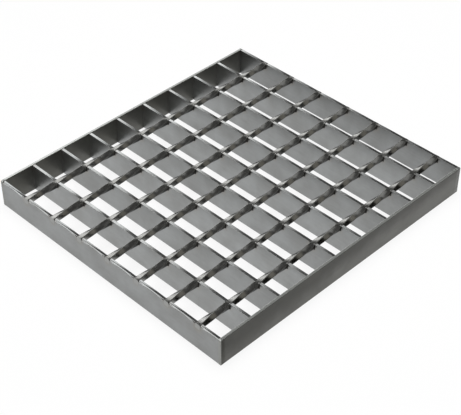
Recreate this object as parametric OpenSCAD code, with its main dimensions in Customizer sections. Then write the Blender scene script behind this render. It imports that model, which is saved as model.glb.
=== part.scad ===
// Steel grating panel: flat bearing bars on edge, twisted square cross rods
// forged into their top edges, and a flat band bar closing each end.
// Millimetres, +Z up. The origin is the centre of the underside, the bearing
// bars run along X and the cross rods along Y.

/* [Panel] */
// Length along the bearing bars, over both end bands
panel_length = 300; // [200:1:1000]
// Number of bearing bars, the two outer ones included
bar_count = 10; // [3:1:20]

/* [Bearing bars] */
// Height of the bearing bars
bar_height = 30; // [20:1:60]
// Thickness of a bearing bar
bar_thickness = 3; // [2:0.1:6]
// Distance between the centres of neighbouring bearing bars
bar_pitch = 36; // [20:0.5:60]

/* [End bands] */
// Thickness of the flat bar welded across the bearing bar ends
band_thickness = 3; // [2:0.1:8]

/* [Cross rods] */
// Side of the square rod
rod_side = 5.5; // [4:0.1:8]
// Depth of the rod's upper face below the bar tops where the two cross
rod_sink = 0.2; // [0:0.1:3]
// Distance between the centres of neighbouring cross rods
rod_pitch = 38.8; // [25:0.1:120]
// Distance from the panel's back end to the first cross rod
rod_start = 39.1; // [15:0.1:60]
// Smallest distance from the last cross rod to the panel's front end
rod_end = 15; // [12:0.1:60]
// Turn of the rod from one bearing bar to the next, in degrees
rod_turn = 90; // [0:45:180]

/* [Hidden] */
// Steps of the twist between two bearing bars
TURN_STEPS = 8;

panel_width = (bar_count - 1) * bar_pitch + bar_thickness;
bar_length = panel_length - 2 * band_thickness;
rod_count = 1 + floor((panel_length - rod_start - rod_end) / rod_pitch);
rod_level = bar_height - rod_sink - rod_side / 2;
twist_rate = rod_turn / bar_pitch;
// The rod lies square to the panel at each bearing bar's middle plane.
end_turn = twist_rate * bar_thickness / 2;

function bar_y(i) = (i - (bar_count - 1) / 2) * bar_pitch;
function rod_x(i) = rod_start - panel_length / 2 + i * rod_pitch;

module bearing_bar() {
    translate([-bar_length / 2, -bar_thickness / 2, 0])
        cube([bar_length, bar_thickness, bar_height]);
}

// A square rod along Y that turns like a screw, a quarter turn in each mesh.
module cross_rod() {
    slices = ceil(panel_width / bar_pitch * TURN_STEPS);
    turn = twist_rate * panel_width;
    translate([0, -panel_width / 2, rod_level])
        rotate([-90, 0, 0])
            linear_extrude(height = panel_width, twist = turn, slices = slices, segments = 4)
                rotate(end_turn)
                    square(rod_side, center = true);
}

// Bars and rods are one piece: each rod is forged into every bar it crosses.
module bearing_grid() {
    color("silver") {
        for (i = [0 : bar_count - 1])
            translate([0, bar_y(i), 0])
                bearing_bar();
        for (i = [0 : rod_count - 1])
            translate([rod_x(i), 0, 0])
                cross_rod();
    }
}

module end_band() {
    translate([0, -panel_width / 2, 0])
        cube([band_thickness, panel_width, bar_height]);
}

module band_back() {
    color("darkgray")
        translate([-panel_length / 2, 0, 0])
            end_band();
}

module band_front() {
    color("dimgray")
        translate([panel_length / 2 - band_thickness, 0, 0])
            end_band();
}

bearing_grid();
band_back();
band_front();
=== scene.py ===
import math

import bmesh
import bpy
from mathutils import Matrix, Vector


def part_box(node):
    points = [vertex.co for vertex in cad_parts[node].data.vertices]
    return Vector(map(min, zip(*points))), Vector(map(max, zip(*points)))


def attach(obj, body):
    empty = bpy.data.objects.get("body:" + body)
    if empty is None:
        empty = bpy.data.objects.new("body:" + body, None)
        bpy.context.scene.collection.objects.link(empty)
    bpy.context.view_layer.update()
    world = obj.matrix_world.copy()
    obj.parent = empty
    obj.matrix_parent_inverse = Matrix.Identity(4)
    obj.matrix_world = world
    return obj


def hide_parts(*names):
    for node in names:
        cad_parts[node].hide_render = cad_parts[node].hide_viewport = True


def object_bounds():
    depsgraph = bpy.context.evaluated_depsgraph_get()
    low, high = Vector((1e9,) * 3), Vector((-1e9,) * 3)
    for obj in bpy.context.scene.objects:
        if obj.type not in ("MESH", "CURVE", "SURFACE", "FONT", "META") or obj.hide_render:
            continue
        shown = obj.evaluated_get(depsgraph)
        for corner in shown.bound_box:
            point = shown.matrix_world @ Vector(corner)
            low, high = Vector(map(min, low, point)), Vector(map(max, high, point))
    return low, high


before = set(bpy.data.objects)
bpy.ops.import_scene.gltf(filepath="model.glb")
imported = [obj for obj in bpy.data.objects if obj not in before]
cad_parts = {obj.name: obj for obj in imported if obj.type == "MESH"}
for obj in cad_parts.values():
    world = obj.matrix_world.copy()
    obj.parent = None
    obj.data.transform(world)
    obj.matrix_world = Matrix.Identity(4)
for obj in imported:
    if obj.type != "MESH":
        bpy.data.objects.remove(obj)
cadLow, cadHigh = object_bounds()
print("frame loaded")

mm = 0.001
gridNode = "bearing_grid"
bandLow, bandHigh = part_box("band_back")
barHeight = bandHigh.z  # the bar tops, which the corners of the twisted rods rise above
bandThickness = bandHigh.x - bandLow.x
panelWidth = bandHigh.y - bandLow.y
barEnd = cadHigh.x - bandThickness  # where the bearing bars butt against the end bands
hold = 0.12 * mm  # from an edge to the points that keep its shading off the flat beside it

# the mesh of the grating: what crosses what, and where
mesh = {
    "barCount": 10,
    "barPitch": 36 * mm,
    "rodCount": 7,
    "rodPitch": 38.8 * mm,
    "rodStart": 39.1 * mm,  # from the back end of the panel to the first rod
}
firstBar = -mesh["barPitch"] * (mesh["barCount"] - 1) / 2
firstRod = cadLow.x + mesh["rodStart"]
rodPlaces = [firstRod + i * mesh["rodPitch"] for i in range(mesh["rodCount"])]


def hexToLinear(code):
    channels = [int(code[i:i + 2], 16) / 255 for i in (1, 3, 5)]
    linear = [c / 12.92 if c <= 0.04045 else ((c + 0.055) / 1.055) ** 2.4 for c in channels]
    return (*linear, 1.0)


# settings are the node's own properties; a socket takes a value or another node's output
def addNode(tree, kind, settings=None, sockets=None):
    node = tree.nodes.new(kind)
    for key, value in (settings or {}).items():
        setattr(node, key, value)
    for key, value in (sockets or {}).items():
        if isinstance(value, bpy.types.NodeSocket):
            tree.links.new(value, node.inputs[key])
        else:
            node.inputs[key].default_value = value
    return node


# begins a geometry tree, and gives it with its inputs' outlets
def newTree(name, inputs):
    tree = bpy.data.node_groups.new(name, "GeometryNodeTree")
    tree.interface.new_socket("Geometry", in_out="INPUT", socket_type="NodeSocketGeometry")
    for label, kind in inputs.items():
        tree.interface.new_socket(label, in_out="INPUT", socket_type="NodeSocket" + kind)
    tree.interface.new_socket("Geometry", in_out="OUTPUT", socket_type="NodeSocketGeometry")
    return tree, addNode(tree, "NodeGroupInput").outputs


# ends a tree with real geometry in one finish
def finishTree(tree, source, materialName):
    painted = addNode(tree, "GeometryNodeSetMaterial", sockets={
        "Geometry": source, "Material": bpy.data.materials[materialName]})
    addNode(tree, "NodeGroupOutput", sockets={"Geometry": painted.outputs[0]})


def addObject(name, data):
    made = bpy.data.objects.new(name, data)
    bpy.context.scene.collection.objects.link(made)
    return made


# pushes points about as metal that ran hot would lie
def makeUneven(tree, source, unevenness, lumpSize, detail):
    fineness = addNode(tree, "ShaderNodeMath", {"operation": "DIVIDE"}, {0: 1.0, 1: lumpSize})
    lumps = addNode(tree, "ShaderNodeTexNoise", sockets={"Scale": fineness.outputs[0], "Detail": detail})
    centred = addNode(tree, "ShaderNodeVectorMath", {"operation": "SUBTRACT"}, {
        0: lumps.outputs["Color"], 1: (0.5, 0.5, 0.5)})
    shift = addNode(tree, "ShaderNodeVectorMath", {"operation": "SCALE"}, {
        0: centred.outputs[0], "Scale": unevenness})
    return addNode(tree, "GeometryNodeSetPosition", sockets={
        "Geometry": source, "Offset": shift.outputs[0]}).outputs[0]


# runs a tree on a base mesh and keeps the result as a plain mesh
def growPiece(name, baseMesh, tree, values):
    piece = addObject(name, baseMesh)
    modifier = piece.modifiers.new(tree.name, "NODES")
    modifier.node_group = tree
    for item in tree.interface.items_tree:
        if item.in_out == "INPUT" and item.name in values:
            modifier[item.identifier] = values[item.name]
    evaluated = piece.evaluated_get(bpy.context.evaluated_depsgraph_get())
    grown = bpy.data.meshes.new_from_object(evaluated)
    piece.modifiers.remove(modifier)
    piece.data = grown
    grown.name = name
    print(name, "made:", len(grown.polygons), "faces")
    return piece


def meshFrom(name, build):
    shape = bmesh.new()
    build(shape)
    bmesh.ops.recalc_face_normals(shape, faces=shape.faces)
    made = bpy.data.meshes.new(name)
    shape.to_mesh(made)
    shape.free()
    for face in made.polygons:
        face.use_smooth = len(face.vertices) == 4  # the end caps stay crisp
    return made


# joins one ring of points to the next, and closes the two ends
def loft(shape, rings):
    loops = [[shape.verts.new(point) for point in ring] for ring in rings]
    for near, far in zip(loops, loops[1:]):
        for i in range(len(near)):
            j = (i + 1) % len(near)
            shape.faces.new((near[i], near[j], far[j], far[i]))
    shape.faces.new(loops[0][::-1])
    shape.faces.new(loops[-1])


# a rectangle with rounded corners, counted round from the upper right, with a
# held point at each end of every flat
def roundedSection(low, high, radii, across=1, steps=3):
    corners = []
    for quarter, (right, top) in enumerate(((1, 1), (0, 1), (0, 0), (1, 0))):
        radius = radii[quarter]
        centre = Vector((high[0] - radius if right else low[0] + radius,
                         high[1] - radius if top else low[1] + radius))
        turns = [math.pi / 2 * (quarter + i / steps) for i in range(steps + 1)]
        arc = [centre + radius * Vector((math.cos(turn), math.sin(turn))) for turn in turns]
        before = arc[0] + hold * Vector((math.sin(turns[0]), -math.cos(turns[0])))
        after = arc[-1] + hold * Vector((-math.sin(turns[-1]), math.cos(turns[-1])))
        corners.append([before] + arc + [after])
    points = []
    for corner, following in zip(corners, corners[1:] + corners[:1]):
        points += corner
        points += [corner[-1].lerp(following[0], i / across) for i in range(1, across)]
    return points


# steel finishes: every one has clouds of oxide, marks drawn out by the rolls
# or the die, and a fine grain; a finish may add marks of its own, and with them
# the height by which its bump sinks
def steelMaterial(name, look, addMarks=None):
    material = bpy.data.materials.new(name)
    material.use_nodes = True
    tree = material.node_tree
    tree.nodes.clear()
    where = addNode(tree, "ShaderNodeTexCoord").outputs
    clouds = addNode(tree, "ShaderNodeTexNoise", sockets={
        "Vector": where["Object"], "Scale": 1 / look["cloudSize"], "Detail": 4.0, "Roughness": 0.55})
    drawn = addNode(tree, "ShaderNodeMapping", sockets={
        "Vector": where["Object"], "Scale": look["drawnOut"]})
    streaks = addNode(tree, "ShaderNodeTexNoise", sockets={
        "Vector": drawn.outputs[0], "Scale": 1 / look["streakSize"], "Detail": 5.0, "Roughness": 0.6})
    grain = addNode(tree, "ShaderNodeTexNoise", sockets={
        "Vector": where["Object"], "Scale": 1 / look["grainSize"], "Detail": 3.0, "Roughness": 0.7})

    # a noise hardly ever leaves these limits, so they stand for its least and its most
    cloudLimits, streakLimits = (0.35, 0.65), (0.3, 0.7)
    tone = addNode(tree, "ShaderNodeValToRGB", sockets={"Fac": clouds.outputs[0]})
    low, high = tone.color_ramp.elements
    low.position, low.color = cloudLimits[0], hexToLinear(look["darkTone"])
    high.position, high.color = cloudLimits[1], hexToLinear(look["lightTone"])
    shade = addNode(tree, "ShaderNodeMapRange", sockets={
        "Value": streaks.outputs[0], "From Min": streakLimits[0], "From Max": streakLimits[1],
        "To Min": 1 - look["streakDepth"], "To Max": 1 + look["streakDepth"]})
    shaded = addNode(tree, "ShaderNodeVectorMath", {"operation": "SCALE"}, {
        0: tone.outputs[0], "Scale": shade.outputs[0]})
    gloss = addNode(tree, "ShaderNodeMapRange", sockets={
        "Value": streaks.outputs[0], "From Min": streakLimits[0], "From Max": streakLimits[1],
        "To Min": look["roughness"][0], "To Max": look["roughness"][1]})
    colour, roughness, hollow = shaded.outputs[0], gloss.outputs[0], None
    if addMarks:
        colour, roughness, hollow = addMarks(tree, where, clouds.outputs[0], colour, roughness)

    ripple = addNode(tree, "ShaderNodeBump", sockets={
        "Height": clouds.outputs[0], "Strength": look["bump"], "Distance": look["rippleDepth"]})
    if hollow:
        sagged = addNode(tree, "ShaderNodeBump", {"invert": True}, {
            "Height": hollow, "Strength": 1.0, "Distance": look["hollow"]})
        tree.links.new(sagged.outputs[0], ripple.inputs["Normal"])
    tooth = addNode(tree, "ShaderNodeBump", sockets={
        "Height": grain.outputs[0], "Strength": look["bump"], "Distance": look["grainDepth"],
        "Normal": ripple.outputs[0]})
    shader = addNode(tree, "ShaderNodeBsdfPrincipled", sockets={
        "Base Color": colour, "Metallic": 1 - look.get("film", 0), "Roughness": roughness,
        "Normal": tooth.outputs[0]})
    addNode(tree, "ShaderNodeOutputMaterial", sockets={"Surface": shader.outputs[0]})


seamLook = {
    "place": 2.7 * mm,  # from a rod's axis to the dark line along each of its sides
    "width": 1.4 * mm,
    "softness": 0.5 * mm,
    "onBar": (1.4 * mm, 2.0 * mm),  # whole up to the first from a bar's middle, gone at the second
    "onTop": (0.3, 0.7),  # none up to the first share of facing up, whole from the second
    "shade": 0.4,
    "roughness": 0.5,
}


# a dark line on the up-facing tops along each side of every rod
def markSeams(tree, where, colour, roughness):
    part = addNode(tree, "ShaderNodeSeparateXYZ", sockets={0: where["Object"]}).outputs
    facing = addNode(tree, "ShaderNodeSeparateXYZ", sockets={0: where["Normal"]})
    fromRod = addNode(tree, "ShaderNodeMath", {"operation": "SUBTRACT"}, {0: part["X"], 1: firstRod})
    besideRod = addNode(tree, "ShaderNodeMath", {"operation": "PINGPONG"}, {
        0: fromRod.outputs[0], 1: mesh["rodPitch"] / 2})
    offLine = addNode(tree, "ShaderNodeMath", {"operation": "SUBTRACT"}, {
        0: besideRod.outputs[0], 1: seamLook["place"]})
    eitherSide = addNode(tree, "ShaderNodeMath", {"operation": "ABSOLUTE"}, {0: offLine.outputs[0]})
    line = addNode(tree, "ShaderNodeMapRange", {"interpolation_type": "SMOOTHSTEP"}, {
        "Value": eitherSide.outputs[0],
        "From Min": (seamLook["width"] + seamLook["softness"]) / 2,
        "From Max": (seamLook["width"] - seamLook["softness"]) / 2, "To Min": 0.0, "To Max": 1.0})
    fromBar = addNode(tree, "ShaderNodeMath", {"operation": "SUBTRACT"}, {0: part["Y"], 1: firstBar})
    besideBar = addNode(tree, "ShaderNodeMath", {"operation": "PINGPONG"}, {
        0: fromBar.outputs[0], 1: mesh["barPitch"] / 2})
    within = addNode(tree, "ShaderNodeMapRange", {"interpolation_type": "SMOOTHSTEP"}, {
        "Value": besideBar.outputs[0], "From Min": seamLook["onBar"][1],
        "From Max": seamLook["onBar"][0], "To Min": 0.0, "To Max": 1.0})
    onTop = addNode(tree, "ShaderNodeMapRange", {"interpolation_type": "SMOOTHSTEP"}, {
        "Value": facing.outputs["Z"], "From Min": seamLook["onTop"][0],
        "From Max": seamLook["onTop"][1], "To Min": 0.0, "To Max": 1.0})
    crossed = addNode(tree, "ShaderNodeMath", {"operation": "MULTIPLY"}, {
        0: line.outputs[0], 1: within.outputs[0]})
    seam = addNode(tree, "ShaderNodeMath", {"operation": "MULTIPLY"}, {
        0: crossed.outputs[0], 1: onTop.outputs[0]})
    kept = addNode(tree, "ShaderNodeMapRange", sockets={
        "Value": seam.outputs[0], "From Min": 0.0, "From Max": 1.0,
        "To Min": 1.0, "To Max": seamLook["shade"]})
    darkened = addNode(tree, "ShaderNodeVectorMath", {"operation": "SCALE"}, {
        0: colour, "Scale": kept.outputs[0]})
    rougher = addNode(tree, "ShaderNodeMix", {"data_type": "FLOAT"}, {
        "Factor": seam.outputs[0], 2: roughness, 3: seamLook["roughness"]})
    return darkened.outputs[0], rougher.outputs[0]


# the cut ends, which face along Y
def markEnds(tree, where, look, colour, roughness):
    facing = addNode(tree, "ShaderNodeSeparateXYZ", sockets={0: where["Normal"]})
    lengthwise = addNode(tree, "ShaderNodeMath", {"operation": "ABSOLUTE"}, {0: facing.outputs["Y"]})
    isEnd = addNode(tree, "ShaderNodeMath", {"operation": "GREATER_THAN"}, {
        0: lengthwise.outputs[0], 1: look["endFacing"]})
    ended = addNode(tree, "ShaderNodeMix", {"data_type": "RGBA"}, {
        "Factor": isEnd.outputs[0], 6: colour, 7: hexToLinear(look["endTone"])})
    duller = addNode(tree, "ShaderNodeMix", {"data_type": "FLOAT"}, {
        "Factor": isEnd.outputs[0], 2: roughness, 3: look["endRoughness"]})
    return ended.outputs[2], duller.outputs[0]


barLook = {
    "tintTone": "#93897b",
    "tintBelow": 4 * mm,  # from the bar tops down to where the tint is centred
    "tintWidth": 8 * mm,
    "tintDepth": 8 * mm,
    "tintEdge": (0.6, 1.5),  # whole up to the first, gone at the second, in widths
    "tintStrength": 0.35,
    "onTop": (0.1, 0.7),  # none up to the first share of facing up, whole from the second
    "topRoughness": 0.2,
}


# straw-coloured heat tint round every crossing, tops rubbed smooth and sunk
# towards the rods, and a tone of its own for each bar, which on the two outer bars is painted shade
def barMarks(tree, where, clouds, colour, roughness):
    part = addNode(tree, "ShaderNodeSeparateXYZ", sockets={0: where["Object"]}).outputs
    fromFirst = addNode(tree, "ShaderNodeMath", {"operation": "SUBTRACT"}, {0: part["X"], 1: firstRod})
    sideways = addNode(tree, "ShaderNodeMath", {"operation": "PINGPONG"}, {
        0: fromFirst.outputs[0], 1: mesh["rodPitch"] / 2})
    across = addNode(tree, "ShaderNodeMath", {"operation": "DIVIDE"}, {
        0: sideways.outputs[0], 1: barLook["tintWidth"]})
    tintHeight = barHeight - barLook["tintBelow"]
    below = addNode(tree, "ShaderNodeMapRange", {"clamp": False}, {
        "Value": part["Z"], "From Min": tintHeight, "From Max": tintHeight - barLook["tintDepth"],
        "To Min": 0.0, "To Max": 1.0})
    spot = addNode(tree, "ShaderNodeCombineXYZ", sockets={"X": across.outputs[0], "Y": below.outputs[0]})
    reach = addNode(tree, "ShaderNodeVectorMath", {"operation": "LENGTH"}, {0: spot.outputs[0]})
    ragged = addNode(tree, "ShaderNodeMath", {"operation": "ADD"}, {0: reach.outputs["Value"], 1: clouds})
    tint = addNode(tree, "ShaderNodeMapRange", {"interpolation_type": "SMOOTHSTEP"}, {
        "Value": ragged.outputs[0], "From Min": barLook["tintEdge"][1],
        "From Max": barLook["tintEdge"][0], "To Min": 0.0, "To Max": barLook["tintStrength"]})
    tinted = addNode(tree, "ShaderNodeMix", {"data_type": "RGBA"}, {
        "Factor": tint.outputs[0], 6: colour, 7: hexToLinear(barLook["tintTone"])})

    ownToneAndPaintedShade = addNode(tree, "ShaderNodeAttribute", {"attribute_name": "ownToneAndPaintedShade"})
    shaded = addNode(tree, "ShaderNodeVectorMath", {"operation": "SCALE"}, {
        0: tinted.outputs[2], "Scale": ownToneAndPaintedShade.outputs["Fac"]})
    facing = addNode(tree, "ShaderNodeSeparateXYZ", sockets={0: where["Normal"]})
    top = addNode(tree, "ShaderNodeMapRange", {"interpolation_type": "SMOOTHSTEP"}, {
        "Value": facing.outputs["Z"], "From Min": barLook["onTop"][0],
        "From Max": barLook["onTop"][1], "To Min": 0.0, "To Max": 1.0})
    smoother = addNode(tree, "ShaderNodeMix", {"data_type": "FLOAT"}, {
        "Factor": top.outputs[0], 2: roughness, 3: barLook["topRoughness"]})
    # the tops sink by the square of the way from mid-mesh to a rod
    fromMiddle = addNode(tree, "ShaderNodeMath", {"operation": "SUBTRACT"}, {
        0: mesh["rodPitch"] / 2, 1: sideways.outputs[0]})
    share = addNode(tree, "ShaderNodeMath", {"operation": "DIVIDE"}, {
        0: fromMiddle.outputs[0], 1: mesh["rodPitch"] / 2})
    squared = addNode(tree, "ShaderNodeMath", {"operation": "POWER"}, {0: share.outputs[0], 1: 2.0})
    sag = addNode(tree, "ShaderNodeMath", {"operation": "MULTIPLY"}, {
        0: squared.outputs[0], 1: top.outputs[0]})
    return *markSeams(tree, where, shaded.outputs[0], smoother.outputs[0]), sag.outputs[0]


# hot-rolled flat bar, bare: an even mid grey with a soft sheen drawn out
# along the bar, smoother where the tops are rubbed
steelMaterial("rolledFlatSteel", {
    "lightTone": "#9c9e9e",
    "darkTone": "#8f908f",
    "cloudSize": 28 * mm,
    "drawnOut": (0.12, 1.0, 1.0),
    "streakSize": 3 * mm,
    "streakDepth": 0.07,
    "grainSize": 0.5 * mm,
    "grainDepth": 0.008 * mm,
    "rippleDepth": 0.12 * mm,
    "roughness": (0.28, 0.4),
    "bump": 0.5,
    "film": 0.04,  # the share that a dull skin of oxide covers
    "hollow": 1.45 * mm,  # how far the light sees the tops sink towards every rod
}, barMarks)


rodLook = {
    "underside": (-0.2, 0.05),  # painted shade: darkest up to the first share of facing up, plain from the second
    "undersidePaintedShade": 0.2,
    "endTone": "#959694",
    "endRoughness": 0.34,
    "endFacing": 0.9,
}


# painted shade darkens the undersides, and the sheared ends are ground back to the
# grey of the bars
def rodMarks(tree, where, clouds, colour, roughness):
    facing = addNode(tree, "ShaderNodeSeparateXYZ", sockets={0: where["Normal"]})
    under = addNode(tree, "ShaderNodeMapRange", {"interpolation_type": "SMOOTHSTEP"}, {
        "Value": facing.outputs["Z"], "From Min": rodLook["underside"][1],
        "From Max": rodLook["underside"][0], "To Min": 1.0, "To Max": rodLook["undersidePaintedShade"]})
    shadedBelow = addNode(tree, "ShaderNodeVectorMath", {"operation": "SCALE"}, {
        0: colour, "Scale": under.outputs[0]})
    colour, roughness = markEnds(tree, where, rodLook, shadedBelow.outputs[0], roughness)
    return *markSeams(tree, where, colour, roughness), None


# cold-twisted square wire: a little darker than the flats, with the glossy
# sides that the drawing die leaves
steelMaterial("twistedWireSteel", {
    "lightTone": "#90908e",
    "darkTone": "#82827f",
    "cloudSize": 12 * mm,
    "drawnOut": (1.0, 0.15, 1.0),
    "streakSize": 1.5 * mm,
    "streakDepth": 0.08,
    "grainSize": 0.4 * mm,
    "grainDepth": 0.006 * mm,
    "rippleDepth": 0.05 * mm,
    "roughness": (0.18, 0.28),
    "bump": 0.5,
}, rodMarks)


bandLook = {
    "paintedLightTone": "#646460",
    "paintedLightEdge": (14 * mm, 42 * mm),  # painted light at full up to the first height, none from the second
    "paintedLightWaver": 30 * mm,  # the most that the clouds add to the height
    "paintedLightSlant": -0.05,  # what each metre to the right adds, so that the edge climbs that way
    "broadside": (0.5, 0.85),  # bare up to the first share of facing along X, scale and painted shade from the second
    "bareTone": "#a2a4a1",
    "bareRoughness": 0.22,
    "endTone": "#8e8f8c",
    "endRoughness": 0.38,
    "endFacing": 0.9,
}


# painted light makes the broad sides lighter towards the lower edge and the right end,
# and the sheared edges and ends are bare
def bandMarks(tree, where, clouds, colour, roughness):
    part = addNode(tree, "ShaderNodeSeparateXYZ", sockets={0: where["Object"]}).outputs
    waver = addNode(tree, "ShaderNodeMath", {"operation": "MULTIPLY_ADD"}, {
        0: clouds, 1: bandLook["paintedLightWaver"], 2: part["Z"]})
    slant = addNode(tree, "ShaderNodeMath", {"operation": "MULTIPLY_ADD"}, {
        0: part["Y"], 1: bandLook["paintedLightSlant"], 2: waver.outputs[0]})
    paintedLight = addNode(tree, "ShaderNodeMapRange", {"interpolation_type": "SMOOTHSTEP"}, {
        "Value": slant.outputs[0], "From Min": bandLook["paintedLightEdge"][1],
        "From Max": bandLook["paintedLightEdge"][0], "To Min": 0.0, "To Max": 1.0})
    lightened = addNode(tree, "ShaderNodeMix", {"data_type": "RGBA"}, {
        "Factor": paintedLight.outputs[0], 6: colour, 7: hexToLinear(bandLook["paintedLightTone"])})
    facing = addNode(tree, "ShaderNodeSeparateXYZ", sockets={0: where["Normal"]})
    broadside = addNode(tree, "ShaderNodeMath", {"operation": "ABSOLUTE"}, {0: facing.outputs["X"]})
    bare = addNode(tree, "ShaderNodeMapRange", {"interpolation_type": "SMOOTHSTEP"}, {
        "Value": broadside.outputs[0], "From Min": bandLook["broadside"][1],
        "From Max": bandLook["broadside"][0], "To Min": 0.0, "To Max": 1.0})
    bared = addNode(tree, "ShaderNodeMix", {"data_type": "RGBA"}, {
        "Factor": bare.outputs[0], 6: lightened.outputs[2], 7: hexToLinear(bandLook["bareTone"])})
    smoother = addNode(tree, "ShaderNodeMix", {"data_type": "FLOAT"}, {
        "Factor": bare.outputs[0], 2: roughness, 3: bandLook["bareRoughness"]})
    return *markEnds(tree, where, bandLook, bared.outputs[2], smoother.outputs[0]), None


# flat bar with its mill scale on, faintly olive, and darker on its broad sides as painted shade
scaleAndShadeLook = {
    "lightTone": "#403f3a",
    "darkTone": "#353531",
    "cloudSize": 30 * mm,
    "drawnOut": (1.0, 0.12, 1.0),
    "streakSize": 3 * mm,
    "streakDepth": 0.1,
    "grainSize": 0.6 * mm,
    "grainDepth": 0.01 * mm,
    "rippleDepth": 0.12 * mm,
    "roughness": (0.3, 0.42),
    "bump": 0.5,
    "film": 0.35,
}
steelMaterial("scaleAndShadeFlatSteel", scaleAndShadeLook, bandMarks)
# the same with less painted shade, for a band that is a little paler
steelMaterial("paleScaleAndShadeFlatSteel", dict(scaleAndShadeLook, lightTone="#54544e", darkTone="#494945"), bandMarks)
# metal squeezed out hot beside the rods, rough, and nearly black as painted shade in the corner where each
# rod enters a bar
steelMaterial("flashAndCornerShade", {
    "lightTone": "#3a3835",
    "darkTone": "#232321",
    "cloudSize": 3 * mm,
    "drawnOut": (1.0, 1.0, 1.0),
    "streakSize": 1.0 * mm,
    "streakDepth": 0.2,
    "grainSize": 0.3 * mm,
    "grainDepth": 0.03 * mm,
    "rippleDepth": 0.1 * mm,
    "roughness": (0.45, 0.65),
    "bump": 0.7,
})
# weld metal: clean and bright between its ripples, straw-coloured in places
steelMaterial("weldBeadSteel", {
    "lightTone": "#a09d94",
    "darkTone": "#76706a",
    "cloudSize": 5 * mm,
    "drawnOut": (1.0, 1.0, 1.0),
    "streakSize": 1.5 * mm,
    "streakDepth": 0.12,
    "grainSize": 0.4 * mm,
    "grainDepth": 0.02 * mm,
    "rippleDepth": 0.1 * mm,
    "roughness": (0.26, 0.42),
    "bump": 0.6,
})
print("steel finishes made")

bar = {
    "thickness": 2.9 * mm,
    "edgeRadius": 0.15 * mm,
    "dish": 0.25 * mm,  # how far the top sinks from mid-mesh to each forged crossing
    "ringsAway": (0, 1.5, 3, 5, 7.5, 10.5, 14, 17),  # mm either way from each rod
    "groundRadius": 2.0 * mm,  # the long edge where the rod ends are ground off
    # painted shade: the two outer bars are made darker than the rest
    "outerPaintedShade": 0.84,
    "innerSpread": 0.07,  # how much one bar may be lighter or darker than the next
    "seed": 4,
}


def barTop(x):
    away = min(abs(x - place) for place in rodPlaces)
    towards = max(0.0, 1 - away / (mesh["rodPitch"] / 2))
    return barHeight - bar["dish"] * towards ** 2


# leftRadius rounds the top edge towards -Y, rightRadius the other
def barRings(leftRadius, rightRadius):
    stations = {-barEnd, hold - barEnd, barEnd - hold, barEnd}
    for place in rodPlaces:
        for away in bar["ringsAway"]:
            stations.update((place - away * mm, place + away * mm))
    half = bar["thickness"] / 2
    for x in sorted(stations):
        if abs(x) <= barEnd:
            section = roundedSection((-half, 0), (half, barTop(x)), (
                rightRadius, leftRadius, bar["edgeRadius"], bar["edgeRadius"]))
            yield [Vector((x, y, z)) for y, z in section]


tree, ins = newTree("setBarsSideBySide", {
    "Bars": "Int", "Pitch": "Float", "First Bar": "Float", "Shade": "Float", "Shade Spread": "Float",
    "Seed": "Int"})
start = addNode(tree, "ShaderNodeCombineXYZ", sockets={"Y": ins["First Bar"]})
step = addNode(tree, "ShaderNodeCombineXYZ", sockets={"Y": ins["Pitch"]})
points = addNode(tree, "GeometryNodeMeshLine", sockets={
    "Count": ins["Bars"], "Start Location": start.outputs[0], "Offset": step.outputs[0]})
placed = addNode(tree, "GeometryNodeInstanceOnPoints", sockets={
    "Points": points.outputs[0], "Instance": ins["Geometry"]})
darkest = addNode(tree, "ShaderNodeMath", {"operation": "SUBTRACT"}, {
    0: ins["Shade"], 1: ins["Shade Spread"]})
lightest = addNode(tree, "ShaderNodeMath", {"operation": "ADD"}, {
    0: ins["Shade"], 1: ins["Shade Spread"]})
anyShade = addNode(tree, "FunctionNodeRandomValue", {"data_type": "FLOAT"}, {
    2: darkest.outputs[0], 3: lightest.outputs[0], "Seed": ins["Seed"]})
shadedBars = addNode(
    tree, "GeometryNodeStoreNamedAttribute", {"data_type": "FLOAT", "domain": "INSTANCE"}, {
        "Geometry": placed.outputs[0], "Name": "ownToneAndPaintedShade", "Value": anyShade.outputs[1]})
realized = addNode(tree, "GeometryNodeRealizeInstances", sockets={"Geometry": shadedBars.outputs[0]})
finishTree(tree, realized.outputs[0], "rolledFlatSteel")
allBars = []
for name, bars, place, shade, spread, radii in (
        ("inner_bars", mesh["barCount"] - 2, firstBar + mesh["barPitch"], 1.0, bar["innerSpread"],
         (bar["edgeRadius"], bar["edgeRadius"])),
        ("left_bar", 1, firstBar, bar["outerPaintedShade"], 0.0, (bar["groundRadius"], bar["edgeRadius"])),
        ("right_bar", 1, -firstBar, bar["outerPaintedShade"], 0.0, (bar["edgeRadius"], bar["edgeRadius"]))):
    stock = meshFrom(name, lambda shape: loft(shape, list(barRings(*radii))))
    allBars.append(growPiece(name, stock, tree, {
        "Bars": bars, "Pitch": mesh["barPitch"], "First Bar": place, "Shade": shade,
        "Shade Spread": spread, "Seed": bar["seed"]}))

rod = {
    "side": 5.7 * mm,
    "sink": 0.1 * mm,  # its upper face below the bar tops
    "cornerRadius": 0.5 * mm,
    "bulge": 0.1 * mm,  # twisting leaves every side slightly round across
    "strips": 6,  # flat strips that make up each rounded side
    "ringsPerMesh": 24,
    "rimBend": 60,  # degrees from which an edge stays crisp, as round the cut ends
    "pressedTo": 0.2 * mm,  # how far below the bar tops the rods are pressed flat at the bars
    "pressReach": 1.4 * mm,
    "turnPerMesh": -90,  # degrees; left-handed, square to the panel at every bar
    "wander": 2,  # degrees that a rod may be rolled either way
    "seed": 11,
}
rodLevel = barHeight - rod["sink"] - rod["side"] / 2

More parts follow.
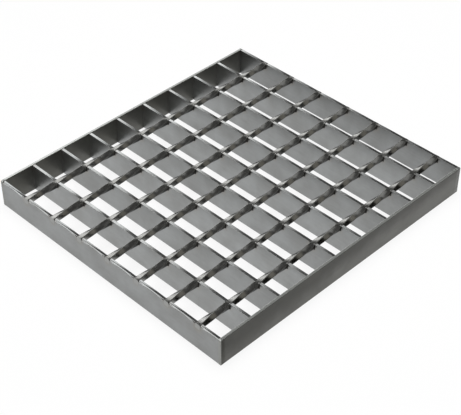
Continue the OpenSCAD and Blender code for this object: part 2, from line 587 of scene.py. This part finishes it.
tree, ins = newTree("twistSquareRods", {
    "Rods": "Int", "Pitch": "Float", "First Rod": "Float", "Length": "Float", "Level": "Float",
    "Turn": "Float", "Lead": "Float", "Rings": "Int", "Rim Bend": "Float", "Wander": "Float",
    "Seed": "Int", "First Bar": "Float", "Bar Pitch": "Float", "Press Level": "Float",
    "Press Reach": "Float"})
halfLength = addNode(tree, "ShaderNodeMath", {"operation": "MULTIPLY"}, {0: ins["Length"], 1: 0.5})
backHalf = addNode(tree, "ShaderNodeMath", {"operation": "MULTIPLY"}, {0: ins["Length"], 1: -0.5})
lineStart = addNode(tree, "ShaderNodeCombineXYZ", sockets={"Y": backHalf.outputs[0]})
lineEnd = addNode(tree, "ShaderNodeCombineXYZ", sockets={"Y": halfLength.outputs[0]})
line = addNode(tree, "GeometryNodeCurvePrimitiveLine", sockets={
    "Start": lineStart.outputs[0], "End": lineEnd.outputs[0]})
rings = addNode(tree, "GeometryNodeResampleCurve", sockets={
    "Curve": line.outputs[0], "Count": ins["Rings"]})
upright = addNode(tree, "GeometryNodeSetCurveNormal", {"mode": "Z_UP"}, {"Curve": rings.outputs[0]})
place = addNode(tree, "GeometryNodeInputPosition")
along = addNode(tree, "ShaderNodeSeparateXYZ", sockets={0: place.outputs[0]})
turned = addNode(tree, "ShaderNodeMath", {"operation": "MULTIPLY_ADD"}, {
    0: along.outputs["Y"], 1: ins["Turn"], 2: ins["Lead"]})
tilted = addNode(tree, "GeometryNodeSetCurveTilt", sockets={
    "Curve": upright.outputs[0], "Tilt": turned.outputs[0]})
section = addNode(tree, "GeometryNodeMeshToCurve", sockets={"Mesh": ins["Geometry"]})
swept = addNode(tree, "GeometryNodeCurveToMesh", sockets={
    "Curve": tilted.outputs[0], "Profile Curve": section.outputs[0], "Fill Caps": True})
smooth = addNode(tree, "GeometryNodeSetShadeSmooth", {"domain": "FACE"}, {
    "Geometry": swept.outputs[0]})
bend = addNode(tree, "GeometryNodeInputMeshEdgeAngle")
isRim = addNode(tree, "FunctionNodeCompare", {"operation": "GREATER_THAN"}, {
    0: bend.outputs[0], 1: ins["Rim Bend"]})
crisp = addNode(tree, "GeometryNodeSetShadeSmooth", {"domain": "EDGE"}, {
    "Geometry": smooth.outputs[0], "Selection": isRim.outputs[0], "Shade Smooth": False})
rodAt = addNode(tree, "ShaderNodeCombineXYZ", sockets={"X": ins["First Rod"], "Z": ins["Level"]})
rodStep = addNode(tree, "ShaderNodeCombineXYZ", sockets={"X": ins["Pitch"]})
rodPoints = addNode(tree, "GeometryNodeMeshLine", sockets={
    "Count": ins["Rods"], "Start Location": rodAt.outputs[0], "Offset": rodStep.outputs[0]})
lessWander = addNode(tree, "ShaderNodeMath", {"operation": "MULTIPLY"}, {0: ins["Wander"], 1: -1.0})
rolled = addNode(tree, "FunctionNodeRandomValue", {"data_type": "FLOAT"}, {
    2: lessWander.outputs[0], 3: ins["Wander"], "Seed": ins["Seed"]})
rolledAxis = addNode(tree, "ShaderNodeCombineXYZ", sockets={"Y": rolled.outputs[1]})
placed = addNode(tree, "GeometryNodeInstanceOnPoints", sockets={
    "Points": rodPoints.outputs[0], "Instance": crisp.outputs[0], "Rotation": rolledAxis.outputs[0]})
realized = addNode(tree, "GeometryNodeRealizeInstances", sockets={"Geometry": placed.outputs[0]})
# the press that forges the crossings leaves the rods' tops flat at each bar
spot = addNode(tree, "ShaderNodeSeparateXYZ", sockets={0: place.outputs[0]})
fromFirst = addNode(tree, "ShaderNodeMath", {"operation": "SUBTRACT"}, {
    0: spot.outputs["Y"], 1: ins["First Bar"]})
halfPitch = addNode(tree, "ShaderNodeMath", {"operation": "MULTIPLY"}, {0: ins["Bar Pitch"], 1: 0.5})
fromBar = addNode(tree, "ShaderNodeMath", {"operation": "PINGPONG"}, {
    0: fromFirst.outputs[0], 1: halfPitch.outputs[0]})
past = addNode(tree, "ShaderNodeMath", {"operation": "SUBTRACT"}, {
    0: fromBar.outputs[0], 1: ins["Press Reach"]})
clear = addNode(tree, "ShaderNodeMath", {"operation": "MAXIMUM"}, {0: past.outputs[0], 1: 0.0})
limit = addNode(tree, "ShaderNodeMath", {"operation": "ADD"}, {
    0: clear.outputs[0], 1: ins["Press Level"]})
lowered = addNode(tree, "ShaderNodeMath", {"operation": "MINIMUM"}, {
    0: spot.outputs["Z"], 1: limit.outputs[0]})
flatTo = addNode(tree, "ShaderNodeCombineXYZ", sockets={
    "X": spot.outputs["X"], "Y": spot.outputs["Y"], "Z": lowered.outputs[0]})
pressed = addNode(tree, "GeometryNodeSetPosition", sockets={
    "Geometry": realized.outputs[0], "Position": flatTo.outputs[0]})
finishTree(tree, pressed.outputs[0], "twistedWireSteel")

rodHalf = rod["side"] / 2
square = roundedSection(
    (-rodHalf, -rodHalf), (rodHalf, rodHalf), [rod["cornerRadius"]] * 4, across=rod["strips"])
# drawing the corners in is what rounds the sides
pull = rod["bulge"] / rodHalf
outline = [(x * (1 - pull * (y / rodHalf) ** 2), y * (1 - pull * (x / rodHalf) ** 2)) for x, y in square]
rodSection = bpy.data.meshes.new("rodSection")
rodSection.from_pydata(
    [(x, y, 0) for x, y in outline], [(i, (i + 1) % len(outline)) for i in range(len(outline))], [])
crossRods = growPiece("cross_rods", rodSection, tree, {
    "Rods": mesh["rodCount"], "Pitch": mesh["rodPitch"], "First Rod": firstRod,
    "Length": panelWidth, "Level": rodLevel,
    "Turn": math.radians(rod["turnPerMesh"]) / mesh["barPitch"],
    # an even bar count puts the panel's middle half way between two bars
    "Lead": math.radians(rod["turnPerMesh"]) / 2,
    "Rings": round(panelWidth / mesh["barPitch"] * rod["ringsPerMesh"]) + 1,
    "Rim Bend": math.radians(rod["rimBend"]), "Wander": math.radians(rod["wander"]),
    "Seed": rod["seed"], "First Bar": firstBar, "Bar Pitch": mesh["barPitch"],
    "Press Level": barHeight - rod["pressedTo"], "Press Reach": rod["pressReach"]})

collar = {
    "leg": 1.0 * mm,  # how far the squeezed-out metal reaches along the bar and the rod
    "seat": 0.25 * mm,  # how deep its back lies in both
    "drop": 0.5 * mm,  # from the rod's upper face down to its ends
    "sideHeights": (0.6 * mm, -0.9 * mm),  # of the rings between, from the rod's axis
    "smallest": 0.8,  # the least and the most of its reach along the rod that one has
    "largest": 1.15,
    "unevenness": 0.3 * mm,
    "lumpSize": 1.2 * mm,
    "seed": 7,
}


# a fillet round the sides and bottom of a rod where it enters a bar's face;
# the rod's axis runs through the origin along Y, and the face is at y = 0
def collarRings():
    # points on the rod's outline, each with the way out of the rod there: down one
    # side, round the corner to the middle of the bottom, and the same mirrored
    corner = rodHalf - rod["cornerRadius"]
    path = [((-rodHalf, z), (-1, 0)) for z in (rodHalf - collar["drop"], *collar["sideHeights"])]
    path += [((-rodHalf, -corner), (-0.92, -0.39)), ((-corner, -rodHalf), (-0.39, -0.92))]
    path += [((0, -rodHalf), (0, -1))]
    path += [((-x, z), (-out, down)) for (x, z), (out, down) in path[-2::-1]]
    leg, seat = collar["leg"], collar["seat"]
    for (x, z), (out, down) in path:
        # a hollow fillet, given by how far out of the rod and how far along it
        section = (
            (leg, seat), (0.45 * leg, -0.28 * leg), (0.1 * leg, -0.6 * leg), (-seat, -leg), (-seat, seat))
        yield [Vector((x + out * away, y, z + down * away)) for away, y in section]


tree, ins = newTree("collarCrossings", {
    "Rods": "Int", "Bars": "Int", "Rod Pitch": "Float", "Bar Pitch": "Float", "First Rod": "Float",
    "Level": "Float", "Bar Thickness": "Float", "Smallest": "Float", "Largest": "Float",
    "Seed": "Int", "Unevenness": "Float", "Lump Size": "Float"})
rodSteps = addNode(tree, "ShaderNodeMath", {"operation": "SUBTRACT"}, {0: ins["Rods"], 1: 1.0})
gridLength = addNode(tree, "ShaderNodeMath", {"operation": "MULTIPLY"}, {
    0: rodSteps.outputs[0], 1: ins["Rod Pitch"]})
facedBars = addNode(tree, "ShaderNodeMath", {"operation": "SUBTRACT"}, {0: ins["Bars"], 1: 1.0})
barSteps = addNode(tree, "ShaderNodeMath", {"operation": "SUBTRACT"}, {0: ins["Bars"], 1: 2.0})
gridWidth = addNode(tree, "ShaderNodeMath", {"operation": "MULTIPLY"}, {
    0: barSteps.outputs[0], 1: ins["Bar Pitch"]})
grid = addNode(tree, "GeometryNodeMeshGrid", sockets={
    "Size X": gridLength.outputs[0], "Size Y": gridWidth.outputs[0],
    "Vertices X": ins["Rods"], "Vertices Y": facedBars.outputs[0]})
# every bar but the first has a collar on the side towards the first
middle = addNode(tree, "ShaderNodeMath", {"operation": "MULTIPLY_ADD"}, {
    0: gridLength.outputs[0], 1: 0.5, 2: ins["First Rod"]})
nearSides = addNode(tree, "ShaderNodeMath", {"operation": "SUBTRACT"}, {
    0: ins["Bar Pitch"], 1: ins["Bar Thickness"]})
nearSide = addNode(tree, "ShaderNodeMath", {"operation": "MULTIPLY"}, {0: nearSides.outputs[0], 1: 0.5})
gridAt = addNode(tree, "ShaderNodeCombineXYZ", sockets={
    "X": middle.outputs[0], "Y": nearSide.outputs[0], "Z": ins["Level"]})
spots = addNode(tree, "GeometryNodeTransform", sockets={
    "Geometry": grid.outputs[0], "Translation": gridAt.outputs[0]})
anyReach = addNode(tree, "FunctionNodeRandomValue", {"data_type": "FLOAT"}, {
    2: ins["Smallest"], 3: ins["Largest"], "Seed": ins["Seed"]})
stretch = addNode(tree, "ShaderNodeCombineXYZ", sockets={"X": 1.0, "Y": anyReach.outputs[1], "Z": 1.0})
nearCollars = addNode(tree, "GeometryNodeInstanceOnPoints", sockets={
    "Points": spots.outputs[0], "Instance": ins["Geometry"], "Scale": stretch.outputs[0]})
# half a turn about the middle of the crossings puts the same set on the far sides
overMiddle = addNode(tree, "ShaderNodeMath", {"operation": "MULTIPLY"}, {0: middle.outputs[0], 1: 2.0})
across = addNode(tree, "ShaderNodeCombineXYZ", sockets={"X": overMiddle.outputs[0]})
nearReal = addNode(tree, "GeometryNodeRealizeInstances", sockets={"Geometry": nearCollars.outputs[0]})
farReal = addNode(tree, "GeometryNodeTransform", sockets={
    "Geometry": nearReal.outputs[0], "Translation": across.outputs[0], "Rotation": (0, 0, math.pi)})
allCollars = addNode(tree, "GeometryNodeJoinGeometry", sockets={"Geometry": nearReal.outputs[0]})
tree.links.new(farReal.outputs[0], allCollars.inputs[0])
uneven = makeUneven(tree, allCollars.outputs[0], ins["Unevenness"], ins["Lump Size"], detail=1.0)
finishTree(tree, uneven, "flashAndCornerShade")
collarStock = meshFrom("collarStock", lambda shape: loft(shape, list(collarRings())))
forgedCollars = growPiece("forged_collars", collarStock, tree, {
    "Rods": mesh["rodCount"], "Bars": mesh["barCount"], "Rod Pitch": mesh["rodPitch"],
    "Bar Pitch": mesh["barPitch"], "First Rod": firstRod, "Level": rodLevel,
    "Bar Thickness": bar["thickness"], "Smallest": collar["smallest"], "Largest": collar["largest"],
    "Seed": collar["seed"], "Unevenness": collar["unevenness"], "Lump Size": collar["lumpSize"]})

weld = {
    "leg": 2.2 * mm,
    "low": 4 * mm,
    "high": 17 * mm,
    "ripples": 7,
    "rippleDepth": 0.1,  # as a share of the leg
    "ringsPerRipple": 3,
    "crownLift": 0.8 * mm,  # how far a ripple's crown lies above its edges
    "fullness": 0.62,  # 0 for a hollow bead, 1 for a round one
    "strips": 5,  # flat strips that make up the crown
    "tip": 0.15,  # how thick the bead's two tips stay, as a share of the leg
    "seat": 0.3 * mm,
    "unevenness": 0.25 * mm,
    "lumpSize": 4 * mm,
}


# a bead up the corner between a bar's side, along X, and a band's, along Y
def weldRings():
    count = weld["ripples"] * weld["ringsPerRipple"]
    arc = [math.pi / 2 * i / weld["strips"] for i in range(weld["strips"] + 1)]
    for i in range(count + 1):
        t = i / count
        swell = 1 - weld["rippleDepth"] + weld["rippleDepth"] * abs(math.cos(math.pi * weld["ripples"] * t))
        taper = max(weld["tip"], 1 - abs(2 * t - 1) ** 8)
        leg = weld["leg"] * swell * taper
        z = weld["low"] + (weld["high"] - weld["low"]) * t
        full, hollow = weld["fullness"], 1 - weld["fullness"]
        crown = [Vector((leg * (full * math.cos(a) + hollow * (1 - math.sin(a))),
                         leg * (full * math.sin(a) + hollow * (1 - math.cos(a))),
                         z + weld["crownLift"] * math.sin(2 * a))) for a in arc]
        yield [Vector((-weld["seat"], -weld["seat"], z))] + crown


tree, ins = newTree("weldBarEnds", {
    "Bars": "Int", "Pitch": "Float", "First Bar": "Float", "Bar Thickness": "Float",
    "Bar End": "Float", "Unevenness": "Float", "Lump Size": "Float"})
weldedBars = addNode(tree, "ShaderNodeMath", {"operation": "SUBTRACT"}, {0: ins["Bars"], 1: 1.0})
farSide = addNode(tree, "ShaderNodeMath", {"operation": "MULTIPLY_ADD"}, {
    0: ins["Bar Thickness"], 1: 0.5, 2: ins["First Bar"]})
backEnd = addNode(tree, "ShaderNodeMath", {"operation": "MULTIPLY"}, {0: ins["Bar End"], 1: -1.0})
step = addNode(tree, "ShaderNodeCombineXYZ", sockets={"Y": ins["Pitch"]})
allBeads = addNode(tree, "GeometryNodeJoinGeometry")
for endX, turn in ((backEnd.outputs[0], 0.0), (ins["Bar End"], math.pi / 2)):
    start = addNode(tree, "ShaderNodeCombineXYZ", sockets={"X": endX, "Y": farSide.outputs[0]})
    corners = addNode(tree, "GeometryNodeMeshLine", sockets={
        "Count": weldedBars.outputs[0], "Start Location": start.outputs[0], "Offset": step.outputs[0]})
    beads = addNode(tree, "GeometryNodeInstanceOnPoints", sockets={
        "Points": corners.outputs[0], "Instance": ins["Geometry"], "Rotation": (0, 0, turn)})
    tree.links.new(beads.outputs[0], allBeads.inputs[0])
realized = addNode(tree, "GeometryNodeRealizeInstances", sockets={"Geometry": allBeads.outputs[0]})
uneven = makeUneven(tree, realized.outputs[0], ins["Unevenness"], ins["Lump Size"], detail=2.0)
finishTree(tree, uneven, "weldBeadSteel")
beadStock = meshFrom("beadStock", lambda shape: loft(shape, list(weldRings())))
bandWelds = growPiece("band_welds", beadStock, tree, {
    "Bars": mesh["barCount"], "Pitch": mesh["barPitch"], "First Bar": firstBar,
    "Bar Thickness": bar["thickness"], "Bar End": barEnd, "Unevenness": weld["unevenness"],
    "Lump Size": weld["lumpSize"]})

band = {
    "edgeRadius": 0.5 * mm,
    "rings": 60,
}


def endBand(name, nearX, farX, finish):
    half = panelWidth / 2
    section = roundedSection((nearX, 0), (farX, barHeight), [band["edgeRadius"]] * 4)
    places = [-half + panelWidth * i / band["rings"] for i in range(band["rings"] + 1)]
    rings = [[Vector((x, y, z)) for x, z in section] for y in places]
    made = meshFrom(name, lambda shape: loft(shape, rings))
    made.materials.append(bpy.data.materials[finish])
    print(name, "made:", len(made.polygons), "faces")
    return addObject(name, made)


backBand = endBand("back_band", cadLow.x, cadLow.x + bandThickness, "paleScaleAndShadeFlatSteel")
frontBand = endBand("front_band", cadHigh.x - bandThickness, cadHigh.x, "scaleAndShadeFlatSteel")

# hide the CAD parts that the new pieces replace, and hang every piece on one body
for piece in (*allBars, crossRods, forgedCollars, bandWelds):
    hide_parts(gridNode)
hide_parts("band_back")
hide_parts("band_front")
for piece in (*allBars, crossRods, forgedCollars, bandWelds, backBand, frontBand):
    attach(piece, "root")

studio = {
    "floorSize": 8.0,
    "floorTone": "#f4f4f4",
    "floorGlow": 0.87,  # how much of the floor's white is its own, the rest keeps the shadow
    "worldTone": "#e6e6e4",
    "worldLevel": 0.15,
}

floorMesh = bpy.data.meshes.new("floor")
edge = studio["floorSize"] / 2
floorMesh.from_pydata(
    [(-edge, -edge, 0), (edge, -edge, 0), (edge, edge, 0), (-edge, edge, 0)], [], [(0, 1, 2, 3)])
floor = addObject("floor", floorMesh)

paper = bpy.data.materials.new("whitePaper")
paper.use_nodes = True
tree = paper.node_tree
tree.nodes.clear()
rays = addNode(tree, "ShaderNodeLightPath").outputs
seen = addNode(tree, "ShaderNodeMath", {"operation": "ADD", "use_clamp": True}, {
    0: rays["Is Camera Ray"], 1: rays["Is Glossy Ray"]})
seenToo = addNode(tree, "ShaderNodeMath", {"operation": "ADD", "use_clamp": True}, {
    0: seen.outputs[0], 1: rays["Is Transmission Ray"]})
share = addNode(tree, "ShaderNodeMath", {"operation": "MULTIPLY"}, {
    0: seenToo.outputs[0], 1: studio["floorGlow"]})
matte = addNode(tree, "ShaderNodeBsdfDiffuse", sockets={"Color": hexToLinear(studio["floorTone"])})
glow = addNode(tree, "ShaderNodeEmission", sockets={"Color": (1, 1, 1, 1), "Strength": 1.0})
blend = addNode(tree, "ShaderNodeMixShader", sockets={
    0: share.outputs[0], 1: matte.outputs[0], 2: glow.outputs[0]})
addNode(tree, "ShaderNodeOutputMaterial", sockets={"Surface": blend.outputs[0]})
floorMesh.materials.append(paper)


# from the origin, with the azimuth counted from +X towards +Y, in degrees
def wayOut(azimuth, elevation):
    turn, lift = math.radians(azimuth), math.radians(elevation)
    return Vector((math.cos(lift) * math.cos(turn), math.cos(lift) * math.sin(turn), math.sin(lift)))


# a lamp that faces the origin and lights either the floor or the steel
def softbox(name, look):
    lamp = bpy.data.lights.new(name, "AREA")
    lamp.shape = "RECTANGLE"
    lamp.size, lamp.size_y = look["size"]
    # radiance times area times pi gives the lamp's power
    lamp.energy = look["radiance"] * look["size"][0] * look["size"][1] * math.pi
    lamp.color = hexToLinear(look["tone"])[:3]
    holder = addObject(name, lamp)
    outward = wayOut(look["azimuth"], look["elevation"])
    holder.location = outward * look["distance"]
    holder.rotation_euler = outward.to_track_quat("Z", "Y").to_euler()
    holder.visible_camera = False
    holder.visible_diffuse = look["on"] == "floor"
    holder.visible_glossy = look["on"] == "steel"


# radiance is the level of the lamp's own face
softboxes = {
    "overheadSoftbox": {
        "azimuth": 135, "elevation": 88, "distance": 2.4, "size": (1.6, 1.6), "radiance": 8.0,
        "tone": "#ffffff", "on": "floor"},
    "backSoftbox": {
        "azimuth": 178, "elevation": 29.5, "distance": 2.6, "size": (4.6, 0.6), "radiance": 1.85,
        "tone": "#ffffff", "on": "steel"},
    "aboveBackSoftbox": {
        "azimuth": 178, "elevation": 43, "distance": 2.6, "size": (4.6, 0.65), "radiance": 0.65,
        "tone": "#ffffff", "on": "steel"},
    "sideSoftbox": {
        "azimuth": 166, "elevation": 43, "distance": 2.6, "size": (1.5, 0.8), "radiance": 1.5,
        "tone": "#ffffff", "on": "steel"},
    "horizonSoftbox": {
        "azimuth": 160, "elevation": 12, "distance": 2.6, "size": (5.4, 1.05), "radiance": 1.3,
        "tone": "#ffffff", "on": "steel"},
    "farSoftbox": {
        "azimuth": 75, "elevation": 38, "distance": 2.6, "size": (1.8, 1.1), "radiance": 0.6,
        "tone": "#ffffff", "on": "steel"},
    "leftSoftbox": {
        "azimuth": 240, "elevation": 24, "distance": 2.6, "size": (1.6, 1.8), "radiance": 2.0,
        "tone": "#ffffff", "on": "steel"},
    "frontSoftbox": {
        "azimuth": -45, "elevation": 20, "distance": 2.6, "size": (3.0, 1.6), "radiance": 1.2,
        "tone": "#ffffff", "on": "steel"},
    "rightSoftbox": {
        "azimuth": 38, "elevation": 17, "distance": 2.6, "size": (1.8, 1.2), "radiance": 0.35,
        "tone": "#ece6d8", "on": "steel"},
    "topSoftbox": {
        "azimuth": 135, "elevation": 90, "distance": 2.4, "size": (0.9, 0.9), "radiance": 1.2,
        "tone": "#ffffff", "on": "steel"},
}
for name, look in softboxes.items():
    softbox(name, look)

world = bpy.data.worlds.new("studio")
bpy.context.scene.world = world
world.use_nodes = True
world.node_tree.nodes.clear()
sky = addNode(world.node_tree, "ShaderNodeBackground", sockets={
    "Color": hexToLinear(studio["worldTone"]), "Strength": studio["worldLevel"]})
addNode(world.node_tree, "ShaderNodeOutputWorld", sockets={"Surface": sky.outputs[0]})
bpy.context.scene.view_settings.view_transform = "Standard"

view = {
    "azimuth": -45.04,
    "elevation": 40.16,
    "distance": 1216.8 * mm,
    "aim": Vector((9.2 * mm, -11.2 * mm, 0)),
    "lens": 97.9,
    "sensor": 36.0,
    "nearest": 50 * mm,
}
lens = bpy.data.cameras.new("camera")
lens.lens = view["lens"]
lens.sensor_width = view["sensor"]
lens.sensor_fit = "HORIZONTAL"
lens.clip_start = view["nearest"]
camera = addObject("camera", lens)
away = wayOut(view["azimuth"], view["elevation"])
camera.location = view["aim"] + away * view["distance"]
camera.rotation_euler = away.to_track_quat("Z", "Y").to_euler()
bpy.context.scene.camera = camera
print("studio set")
